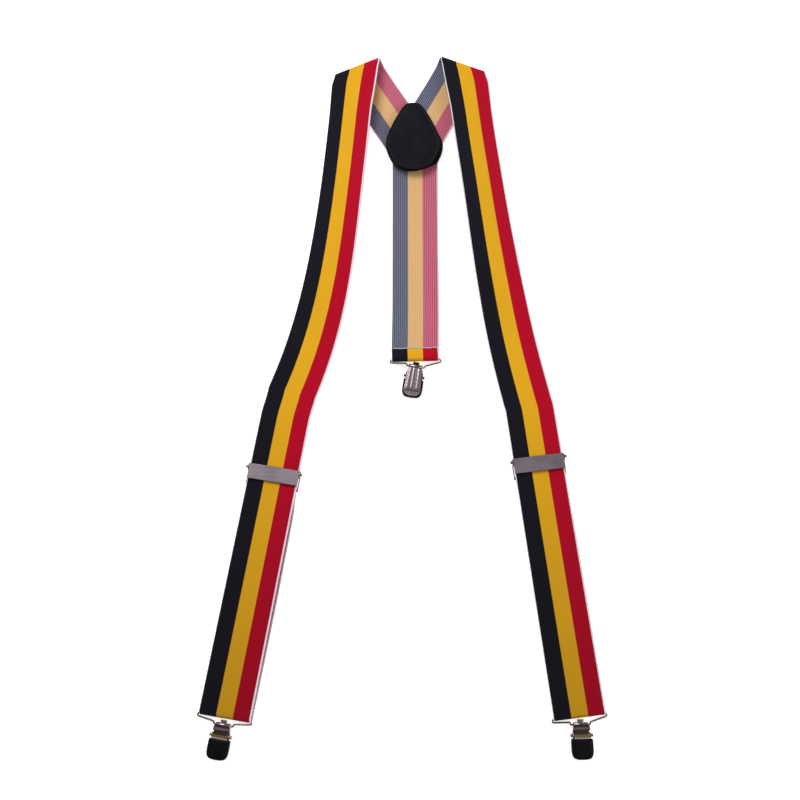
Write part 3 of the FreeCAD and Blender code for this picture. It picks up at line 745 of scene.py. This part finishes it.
def sheet_strip(name, place, stations, thickness, emboss=None):
    """Bent sheet metal: stations of (y, z, half width), with rounded edges all round."""
    across = [-1, -0.965, -0.9, -0.8, -0.65, -0.5, -0.35, -0.2, -0.08]
    across = across + [0] + [-q for q in reversed(across)]
    rim = 4
    width = len(across)
    rings = 2 * (width + rim - 1)
    h = thickness / 2
    arc = [(h * math.sin(math.pi * k / rim), h * math.cos(math.pi * k / rim)) for k in range(1, rim)]
    verts = []
    total = len(stations)
    for i, (y, z, half) in enumerate(stations):
        y0, z0, _ = stations[max(0, i - 1)]
        y1, z1, _ = stations[min(total - 1, i + 1)]
        length = math.hypot(y1 - y0, z1 - z0)
        ny, nz = (z1 - z0) / length, -(y1 - y0) / length
        flat = max(half - h, 0.05)
        ring = [(q * flat, h, q) for q in across]
        ring += [(flat + out, off, 1) for out, off in arc]
        ring += [(q * flat, -h, q) for q in reversed(across)]
        ring += [(-flat - out, -off, -1) for out, off in arc]
        for x, off, q in ring:
            rise = off + (emboss(q, y) if emboss else 0.0)
            verts.append(place(x, y + ny * rise, z + nz * rise))
    faces = ring_faces(total, rings)
    for i in (0, total - 1):
        top = [i * rings + k for k in range(width)]
        low = [i * rings + width + rim - 1 + k for k in range(width)][::-1]
        for k in range(width - 1):
            faces.append((top[k], top[k + 1], low[k + 1], low[k]))
        right = [top[-1]] + [i * rings + width + k for k in range(rim - 1)] + [low[-1]]
        left = [low[0]] + [i * rings + 2 * width + rim - 1 + k for k in range(rim - 1)] + [top[0]]
        faces += [tuple(right), tuple(left)]
    return new_object(name, verts, faces)


def through(points, steps=8):
    """Smooth open curve through points of any number of coordinates."""
    ends = [points[0]] + points + [points[-1]]
    curve = []
    for i in range(1, len(ends) - 2):
        for k in range(steps):
            t = k / steps
            curve.append(tuple(
                (2 * b + (c - a) * t + (2 * a - 5 * b + 4 * c - d) * t * t
                 + (3 * b - a - 3 * c + d) * t ** 3) / 2
                for a, b, c, d in zip(*ends[i - 1:i + 3])
            ))
    return curve + [tuple(points[-1])]


def clip_lever(name):
    """Thumb end with a turned-up lip, hump over the pin, jaw plate; waisted between the ears."""
    line = [(0.1, 7.0, 4.9), (-0.7, 6.75, 5.5), (-2.2, 6.75, 5.9), (-3.6, 6.9, 5.9), (-4.5, 6.9, 5.1),
            (-7.2, 6.75, 5.1), (-9.3, 6.1, 5.2), (-10.4, 5.6, 6.2), (-13.0, 5.0, 6.3), (-18.0, 4.8, 6.3),
            (-22.0, 4.6, 5.0)]
    obj = sheet_strip(name + "_lever_sheet", clip_place(name), through(line), SHEET)
    _, down = clip_axes(name)
    bar = joint_point(name + "_clip_swing")
    reach = obj.data.attributes.new("reach", "FLOAT", "POINT")
    reach.data.foreach_set("value", [(v.co / MM - bar).dot(down) for v in obj.data.vertices])
    return obj


def clip_base(name):
    """Back plate: two lengthwise pressed ribs and a lip before the rounded end."""
    line = [(-1.5, 0.45, 5.2), (-3.0, 0.42, 5.5), (-8.0, 0.4, 5.9), (-14.0, 0.4, 6.1), (-18.2, 0.4, 6.3),
            (-19.0, 0.55, 6.3), (-19.6, 1.0, 6.2), (-21.0, 1.05, 5.6), (-22.4, 1.05, 4.2),
            (-23.1, 1.05, 2.2)]
    rib_height = 0.15
    ribs_end = -18.4

    def emboss(q, y):
        ribs = math.exp(-((abs(q) - 0.62) / 0.07) ** 2) + 0.8 * math.exp(-((q - 0.1) / 0.06) ** 2)
        return -rib_height * ribs * smooth((y - ribs_end) / 1.5)

    return sheet_strip(name + "_base_sheet", clip_place(name), through(line), SHEET, emboss)


def lathe(name, place, profile, y, z, around=20):
    """Round piece about a line across the clip: profile of (x, radius) between two flat ends."""
    verts = []
    for x, radius in profile:
        verts += [place(x, y + a, z + b) for a, b in circle(around, radius)]
    faces = ring_faces(len(profile), around)
    faces.append(tuple(range(around)))
    faces.append(tuple(range((len(profile) - 1) * around, len(profile) * around)))
    return new_object(name, verts, faces)


def block(name, place, outline, levels):
    """Solid from a plan outline; levels are (height, inset) from bottom to top."""
    count = len(outline)
    centre_y = sum(y for _, y in outline) / count
    verts = []
    for z, inset in levels:
        for x, y in outline:
            reach = math.hypot(x, y - centre_y)
            share = (reach - inset) / reach
            verts.append(place(x * share, centre_y + (y - centre_y) * share, z))
    faces = ring_faces(len(levels), count)
    for i in (0, len(levels) - 1):
        z, _ = levels[i]
        verts.append(place(0, centre_y, z))
        faces += fan(i * count, count, len(verts) - 1)
    return new_object(name, verts, faces)


def cover_outline():
    """Square-shouldered top, straight sides and a rounded lower end."""
    right = [(0.0, -9.5), (5.5, -9.45), (7.0, -9.6), (7.5, -10.3), (7.62, -13.0), (7.62, -17.5),
             (7.3, -20.0), (6.2, -22.2), (4.0, -23.3), (0.0, -23.6)]
    left = [(-x, y) for x, y in reversed(right[1:-1])]
    points = [Vector((x, y, 0)) for x, y in right + left]
    return [(p.x, p.y) for p in closed_curve(points, 6)]


def jaw_cover(name):
    """Black plastic shoe: square edge below, domed above."""
    levels = [(2.6, 0.5), (2.7, 0.2), (3.1, 0.0), (5.4, 0.0), (6.2, 0.12), (6.7, 0.5), (6.95, 1.1),
              (7.05, 2.2), (7.1, 4.0)]
    return block(name + "_shoe", clip_place(name), cover_outline(), levels)


def bevelled_box(name, place, x, y, z, edge=0.15):
    """Box between pairs of coordinates with narrow bevels along its edges."""
    bm = bmesh.new()
    bmesh.ops.create_cube(bm, size=1.0)
    for v in bm.verts:
        spot = [mix(low, high, c + 0.5) for c, (low, high) in zip(v.co, (x, y, z))]
        v.co = place(*spot)
    bmesh.ops.bevel(bm, geom=bm.edges[:], offset=edge, segments=2, profile=0.7, affect="EDGES")
    verts = [v.co.copy() for v in bm.verts]
    bm.verts.index_update()
    faces = [tuple(v.index for v in f.verts) for f in bm.faces]
    bm.free()
    return new_object(name, verts, faces)


# ======== materials ========

def srgb(r, g, b):
    """A shader colour from 0 to 255 screen values."""
    def linear(c):
        c /= 255
        return c / 12.92 if c <= 0.04045 else ((c + 0.055) / 1.055) ** 2.4
    return (linear(r), linear(g), linear(b), 1.0)


def scaled(colour, factor):
    return tuple(c * factor for c in colour[:3]) + (1.0,)


class Nodes:
    """Short way to write a material's node tree."""

    def __init__(self, name, roughness=0.5, metallic=0.0, **fixed):
        self.material = bpy.data.materials.new(name)
        self.material.use_nodes = True
        self.tree = self.material.node_tree
        self.shader = self.tree.nodes["Principled BSDF"]
        self.shader.inputs["Roughness"].default_value = roughness
        self.shader.inputs["Metallic"].default_value = metallic
        for key, value in fixed.items():
            self.shader.inputs[key.replace("_", " ")].default_value = value

    def add(self, kind, **settings):
        node = self.tree.nodes.new(kind)
        for key, value in settings.items():
            setattr(node, key, value)
        return node

    def put(self, value, socket):
        if isinstance(value, bpy.types.NodeSocket):
            self.tree.links.new(value, socket)
        else:
            socket.default_value = value

    def fill(self, node, *values):
        for value, socket in zip(values, node.inputs):
            self.put(value, socket)
        return node.outputs[0]

    def math(self, operation, a, b=0.0, c=0.0):
        return self.fill(self.add("ShaderNodeMath", operation=operation), a, b, c)

    def times(self, a, b):
        return self.math("MULTIPLY", a, b)

    def linear(self, value, scale, offset):
        return self.math("MULTIPLY_ADD", value, scale, offset)

    def wave(self, value):
        """Bumps one unit apart."""
        return self.math("ABSOLUTE", self.math("SINE", self.times(value, math.pi)))

    def ramp(self, value, low, high, to_low=0.0, to_high=1.0):
        node = self.add("ShaderNodeMapRange", interpolation_type="SMOOTHSTEP")
        return self.fill(node, value, low, high, to_low, to_high)

    def mix(self, factor, a, b, blend="MIX"):
        node = self.add("ShaderNodeMix", data_type="RGBA", blend_type=blend)
        self.put(factor, node.inputs[0])
        self.put(a, node.inputs[6])
        self.put(b, node.inputs[7])
        return node.outputs[2]

    def shade(self, colour, light):
        """The colour times a grey level."""
        return self.mix(1.0, colour, self.combine(light, light, light), "MULTIPLY")

    def noise(self, vector, scale, detail=3.0, roughness=0.5):
        node = self.add("ShaderNodeTexNoise")
        self.put(vector, node.inputs["Vector"])
        node.inputs["Scale"].default_value = scale
        node.inputs["Detail"].default_value = detail
        node.inputs["Roughness"].default_value = roughness
        return node.outputs[0]

    def object_space(self):
        return self.add("ShaderNodeTexCoord").outputs["Object"]

    def attribute(self, name):
        return self.add("ShaderNodeAttribute", attribute_name=name).outputs["Vector"]

    def combine(self, x, y, z):
        return self.fill(self.add("ShaderNodeCombineXYZ"), x, y, z)

    def separate(self, vector):
        node = self.add("ShaderNodeSeparateXYZ")
        self.put(vector, node.inputs[0])
        return node.outputs

    def bump(self, height, strength, distance):
        node = self.add("ShaderNodeBump")
        node.inputs["Strength"].default_value = strength
        node.inputs["Distance"].default_value = distance
        self.put(height, node.inputs["Height"])
        self.put(node.outputs[0], self.shader.inputs["Normal"])

    def colour(self, value):
        self.put(value, self.shader.inputs["Base Color"])

    def roughness(self, value):
        self.put(value, self.shader.inputs["Roughness"])


STRIPE_EDGE = (5.9, 6.05)
FACE_RIB = 0.95
FACE_PICK = 1.25
BACK_RIB = 1.5
BACK_PICK = 1.5
FACE_SELVEDGE = (18.0, 18.2)
BACK_SELVEDGE = (18.15, 18.3)

# painted shade: the webbing's face is darkened from here along the strap towards the clips, where the light falls
# off
PAINTED_SHADE_FROM = 350.0
PAINTED_SHADE_SPAN = 250.0
PAINTED_SHADE_MOST = 0.37


def webbing_material():
    """Three stripes on the face, pale ribbed wrong side, white woven edges."""
    m = Nodes("webbing", roughness=0.9, Sheen_Weight=0.03, Sheen_Roughness=0.5, Specular_IOR_Level=0.12)
    x, y, z = m.separate(m.attribute("strap"))
    x = m.times(x, 1 / MM)
    y = m.times(y, 1 / MM)
    face = m.math("GREATER_THAN", z, 0.0)
    edge = m.math("ABSOLUTE", x)

    # face: fine ribs, each pick offset by half from rib to rib
    ribs = m.times(x, 1 / FACE_RIB)
    rib = m.wave(ribs)
    offset = m.times(m.math("FLOOR", ribs), 0.5)
    picks = m.math("ADD", m.times(y, 1 / FACE_PICK), offset)
    pick = m.wave(picks)
    face_height = m.times(m.math("POWER", rib, 0.5), m.linear(pick, 0.5, 0.5))

    # wrong side: bold lengthwise ribs, crossed by small picks
    back_ribs = m.times(x, 1 / BACK_RIB)
    back_rib = m.wave(back_ribs)
    back_number = m.times(m.math("FLOOR", back_ribs), 0.37)
    back_picks = m.math("ADD", m.times(y, 1 / BACK_PICK), back_number)
    back_pick = m.wave(back_picks)
    back_height = m.times(m.math("POWER", back_rib, 0.6), m.linear(back_pick, 0.22, 0.78))

    # stripes, with the slight raggedness of a woven boundary
    ragged = m.times(m.math("SUBTRACT", pick, 0.5), 0.2)
    stripe_x = m.math("ADD", x, ragged)
    left = m.ramp(stripe_x, -STRIPE_EDGE[1], -STRIPE_EDGE[0], 1.0, 0.0)
    right = m.ramp(stripe_x, *STRIPE_EDGE)
    face_colour = m.mix(left, srgb(229, 170, 30), srgb(21, 19, 28))
    face_colour = m.mix(right, face_colour, srgb(182, 3, 36))
    slow = m.noise(m.combine(m.times(x, 0.08), m.times(y, 0.03), 0.0), 1.0)
    face_light = m.linear(face_height, 0.42, 0.7)
    face_light = m.times(face_light, m.linear(slow, 0.12, 0.94))
    # painted shade: the face darkens along the strap, standing in for the light falling off towards the clips
    painted_shade_share = m.times(m.math("SUBTRACT", y, PAINTED_SHADE_FROM), 1 / PAINTED_SHADE_SPAN)
    painted_shade_factor = m.linear(painted_shade_share, -PAINTED_SHADE_MOST, 1.0)
    face_light = m.times(face_light, m.math("MINIMUM", painted_shade_factor, 1.0))
    face_colour = m.shade(face_colour, face_light)

    threads = m.times(back_height, m.linear(back_pick, 0.2, 0.8))
    threads = m.math("POWER", threads, 1.4)
    grey = m.mix(threads, srgb(8, 10, 26), srgb(132, 136, 158))
    tan = m.mix(threads, srgb(205, 159, 106), srgb(226, 186, 133))
    pink = m.mix(threads, srgb(140, 4, 42), srgb(219, 130, 154))
    back_colour = m.mix(left, tan, grey)
    back_colour = m.mix(right, back_colour, pink)
    edge_light = m.linear(pick, 0.2, 0.8)
    face_edge = m.shade(srgb(232, 226, 234), edge_light)
    back_edge = m.shade(srgb(226, 208, 218), edge_light)
    red_side = m.times(m.math("GREATER_THAN", x, 0.0), 0.6)
    edge = m.math("ADD", edge, red_side)
    face_colour = m.mix(m.ramp(edge, *FACE_SELVEDGE), face_colour, face_edge)
    back_colour = m.mix(m.ramp(edge, *BACK_SELVEDGE), back_colour, back_edge)
    m.colour(m.mix(face, back_colour, face_colour))
    height = m.mix(face, back_height, face_height)
    m.bump(height, 0.6, 0.0003)
    return m.material


def leather_material():
    m = Nodes("yoke_leather", roughness=0.6, Specular_IOR_Level=0.1)
    place = m.object_space()
    grain = m.add("ShaderNodeTexVoronoi", feature="F1")
    m.put(place, grain.inputs["Vector"])
    grain.inputs["Scale"].default_value = 1100.0
    cells = grain.outputs["Distance"]
    creases = m.noise(place, 260.0, 6.0, 0.6)
    cloud = m.noise(place, 60.0, 3.0, 0.5)
    m.colour(m.mix(cloud, srgb(7, 6, 13), srgb(14, 12, 20)))
    m.roughness(m.ramp(cloud, 0.3, 0.7, 0.52, 0.7))
    height = m.math("ADD", m.times(cells, 0.8), creases)
    m.bump(height, 0.35, 0.0002)
    return m.material


def metal_material(name, colour, roughness, brushed=0.0, direction=(1, 1, 1)):
    """Plated or brushed metal with faint smears and fine scratches."""
    m = Nodes(name, roughness=roughness, metallic=1.0)
    place = m.object_space()
    x, y, z = m.separate(place)
    stretched = m.combine(*(m.times(a, scale) for a, scale in zip((x, y, z), direction)))
    lines = m.noise(stretched, 900.0, 3.0, 0.6)
    smear = m.noise(place, 90.0, 2.0, 0.5)
    m.colour(m.mix(m.ramp(smear, 0.35, 0.7), colour, scaled(colour, 0.82)))
    m.roughness(m.linear(lines, 0.18 + brushed * 0.2, roughness - 0.06))
    m.bump(lines, 0.04 + 0.3 * brushed, 0.00004)
    return m.material


def lever_painted_reflections_material():
    """Plating with painted reflections in bands down the lever: a dark painted reflection, a mauve painted
    highlight, dark again, a gold painted reflection and a pale painted highlight beside the jaw cover.
    """
    m = Nodes("lever_nickel_painted_reflections", roughness=0.2, metallic=1.0)
    place = m.object_space()
    reach = m.add("ShaderNodeAttribute", attribute_name="reach").outputs["Fac"]
    uneven = m.linear(m.noise(place, 300.0, 2.0), 0.8, -0.4)
    reach = m.math("ADD", reach, uneven)
    # painted reflection bands, placed by the distance down the clip from its bar, with ragged edges
    dark_reflection = srgb(84, 66, 60)
    colour = m.mix(m.ramp(reach, 1.6, 2.2), dark_reflection, srgb(134, 118, 130))
    colour = m.mix(m.ramp(reach, 3.0, 3.6), colour, dark_reflection)
    colour = m.mix(m.ramp(reach, 6.4, 7.0), colour, srgb(156, 134, 78))
    colour = m.mix(m.ramp(reach, 8.4, 8.8), colour, srgb(222, 200, 206))
    m.colour(colour)
    m.roughness(m.linear(m.noise(place, 900.0), 0.15, 0.14))
    return m.material


def plastic_material(name, colour):
    m = Nodes(name, roughness=0.42, Specular_IOR_Level=0.08)
    place = m.object_space()
    speckle = m.noise(place, 1800.0, 4.0, 0.6)
    wear = m.noise(place, 220.0, 3.0, 0.5)
    m.colour(m.mix(wear, colour, scaled(colour, 1.5)))
    m.roughness(m.ramp(wear, 0.3, 0.7, 0.36, 0.5))
    m.bump(speckle, 0.15, 0.00008)
    return m.material


def thread_material(name, colour):
    m = Nodes(name, roughness=0.75, Sheen_Weight=0.2)
    place = m.object_space()
    twist = m.noise(place, 2600.0, 2.0, 0.5)
    m.colour(m.mix(twist, scaled(colour, 0.75), colour))
    m.bump(twist, 0.4, 0.0001)
    return m.material


MATERIALS = {
    "webbing": webbing_material(),
    "yoke_leather": leather_material(),
    "yoke_thread": thread_material("yoke_thread", srgb(17, 16, 24)),
    "strap_thread": thread_material("strap_thread", srgb(205, 203, 212)),
    "slider_plate": metal_material("slider_plate", srgb(119, 109, 116), 0.34, 1.0, (0.04, 1, 1)),
    "bright_steel": metal_material("bright_steel", srgb(112, 101, 94), 0.2),
    "clip_nickel": metal_material("clip_nickel", srgb(146, 133, 135), 0.17, 0.1, (1, 0.04, 1)),
    "spring_steel": metal_material("spring_steel", srgb(150, 150, 155), 0.35),
    "jaw_plastic": plastic_material("jaw_plastic", srgb(7, 4, 7)),
    "pad_plastic": plastic_material("pad_plastic", srgb(24, 24, 26)),
}

LEVER_PAINTED_REFLECTIONS = lever_painted_reflections_material()

NODE_SLOTS = {part["node"]: part["material_slot"] for part in frame["record"]["subparts"]}
for node_name, node_object in frame["nodes"].items():
    node_object.data.materials.clear()
    node_object.data.materials.append(MATERIALS[NODE_SLOTS[node_name]])


def finish_piece(obj, slot, body=None):
    """Gives a piece the material named by its slot and the body that it rides on."""
    obj.data.materials.clear()
    obj.data.materials.append(MATERIALS[slot])
    if body:
        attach(obj, body)
    return obj


# ======== pieces ========


def both_sides(s, near, far):
    """The (low, high) pair across the clip on its right (s = 1) or left (s = -1)."""
    return sorted((s * near, s * far))


for side in SIDES:
    crease, down, _ = crease_frame(side)
    wire = joint_point(side + "_bail_swing")
    pin = joint_point(side + "_lever_lift")
    strap = finish_piece(front_strap(side), "webbing")
    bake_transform(strap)
    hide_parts(side + "_back_branch", side + "_shoulder_fold", side + "_chest_run",
                side + "_lower_run", side + "_bail_wrap")
    back = finish_piece(return_strap(side), "webbing")
    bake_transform(back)
    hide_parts(side + "_return_run", side + "_slider_wrap")

rear = finish_piece(ribbon("rear_strap_webbing", rear_sections()), "webbing")
rear_wire, _, rear_down = rear_frame()
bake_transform(rear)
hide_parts("rear_strap", "rear_bail_wrap")

tail_row = tail_places(TAIL_STITCHES, REAR_TAIL - 0.3, fill=1.15, rise=0.05, wander=0.35)
tail_thread = finish_piece(stitches("rear_cut_edge_thread", tail_row, radius=0.42, lift=0.15),
                           "strap_thread", "rear_loop")
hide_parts("rear_stitching")

# yoke: two leathers over and under the strap ends
INNER_OUTLINE = yoke_outline(INNER_SHAPE, INNER_SHAPE)
OUTER_OUTLINE = yoke_outline(OUTER_SHAPE, INNER_SHAPE)
for name, outline, bottom, puff in (
    ("yoke_inner_leather", INNER_OUTLINE, INNER_LEATHER_Z, 0.5),
    ("yoke_outer_leather", OUTER_OUTLINE, 0.0, 0.0),
):
    leather = finish_piece(yoke_leather(name + "_hide", outline, bottom, puff), "yoke_leather", "harness")
    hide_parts(name)
seam_row = seam_places(INNER_OUTLINE, INNER_LEATHER_Z + LEATHER * SEAM_LEVEL)
seam = finish_piece(stitches("yoke_seam", seam_row, radius=0.24, lift=0.14), "yoke_thread", "harness")
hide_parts("yoke_stitching")

# hardware
for name in CLIPS:
    place = clip_place(name)
    wire = finish_piece(bail(name), "bright_steel", name + "_bail")
    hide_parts(name + "_bail_wire")
    lever = finish_piece(clip_lever(name), "clip_nickel", name + "_jaw")
    # the lever's plating carries painted reflection bands
    lever.data.materials[0] = LEVER_PAINTED_REFLECTIONS
    for s in (-1, 1):
        cheek_name = "%s_cheek_%d" % (name, s > 0)
        cheek = bevelled_box(cheek_name, place, both_sides(s, *CHEEK_X), (-8.8, -5.6), (3.0, 6.6))
        finish_piece(cheek, "clip_nickel", name + "_jaw")
    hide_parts(name + "_clip_lever")
    base = finish_piece(clip_base(name), "clip_nickel", name + "_clip")
    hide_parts(name + "_clip_base")
    barrel = lathe(name + "_barrel", place, BARREL_PROFILE, 0.0, BARREL_Z)
    finish_piece(barrel, "clip_nickel", name + "_clip")
    tongue = bevelled_box(name + "_tongue", place, (-2.2, 2.2), (0.9, 3.6), (1.9, 2.7))
    finish_piece(tongue, "clip_nickel", name + "_clip")
    for s in (-1, 1):
        ear = lathe("%s_ear_%d" % (name, s > 0), place, [(s * x, r) for x, r in EAR_PROFILE], PIN_Y, PIN_Z)
        stem_name = "%s_stem_%d" % (name, s > 0)
        stem = bevelled_box(stem_name, place, both_sides(s, *EAR_X), (-9.2, -5.2), (0.2, PIN_Z))
        for piece in (ear, stem):
            finish_piece(piece, "clip_nickel", name + "_clip")
    shoe = finish_piece(jaw_cover(name), "jaw_plastic", name + "_jaw")
    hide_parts(name + "_jaw_cover")


# ======== floor, light and camera ========

def floor():
    """Plain white table top, level with the underside of the straps."""
    size = 3000.0
    level = -0.05
    verts = [(x, y, level) for x, y in ((-size, -size), (size, -size), (size, size), (-size, size))]
    obj = new_object("floor", verts, [(0, 1, 2, 3)], smooth_shading=False)
    m = Nodes("floor_white", roughness=0.9, Specular_IOR_Level=0.1, Emission_Strength=0.6)
    m.shader.inputs["Emission Color"].default_value = (1.0, 1.0, 1.0, 1.0)
    m.colour(srgb(252, 252, 252))
    obj.data.materials.append(m.material)
    return obj


def area_light(name, location, target, size, power):
    """Round soft light aimed at a point."""
    light = bpy.data.lights.new(name, "AREA")
    light.shape = "DISK"
    light.size = size
    light.energy = power
    obj = add_object(name, light)
    obj.location = location
    direction = Vector(target) - Vector(location)
    obj.rotation_euler = direction.to_track_quat("-Z", "Y").to_euler()
    return obj


def camera():
    """Looks down at the table from the clips' end, about 75 degrees up."""
    data = bpy.data.cameras.new("camera")
    data.sensor_width = 36.0
    data.lens = 51.06
    data.clip_end = 20.0
    obj = add_object("camera", data)
    elevation = math.radians(74.6)
    distance = 0.852
    target = (ORIGIN + Vector((-1.9, -14.5, 0))) * MM
    away = Vector((0, -math.cos(elevation), math.sin(elevation)))
    obj.location = target + away * distance
    obj.rotation_euler = (-away).to_track_quat("-Z", "Y").to_euler()
    bpy.context.scene.camera = obj
    return obj


floor()
area_light("key", (-0.45, 0.75, 1.25), (0, 0.1, 0), size=0.9, power=15.0)
area_light("fill", (0.95, -0.35, 1.2), (0, 0, 0), size=0.8, power=6.0)
camera()

world = bpy.data.worlds.new("studio")
bpy.context.scene.world = world
world.use_nodes = True
background = world.node_tree.nodes["Background"]
background.inputs["Color"].default_value = (1.0, 1.0, 1.0, 1.0)
background.inputs["Strength"].default_value = 0.35
bpy.context.scene.view_settings.view_transform = "Standard"
bpy.context.scene.view_settings.look = "None"
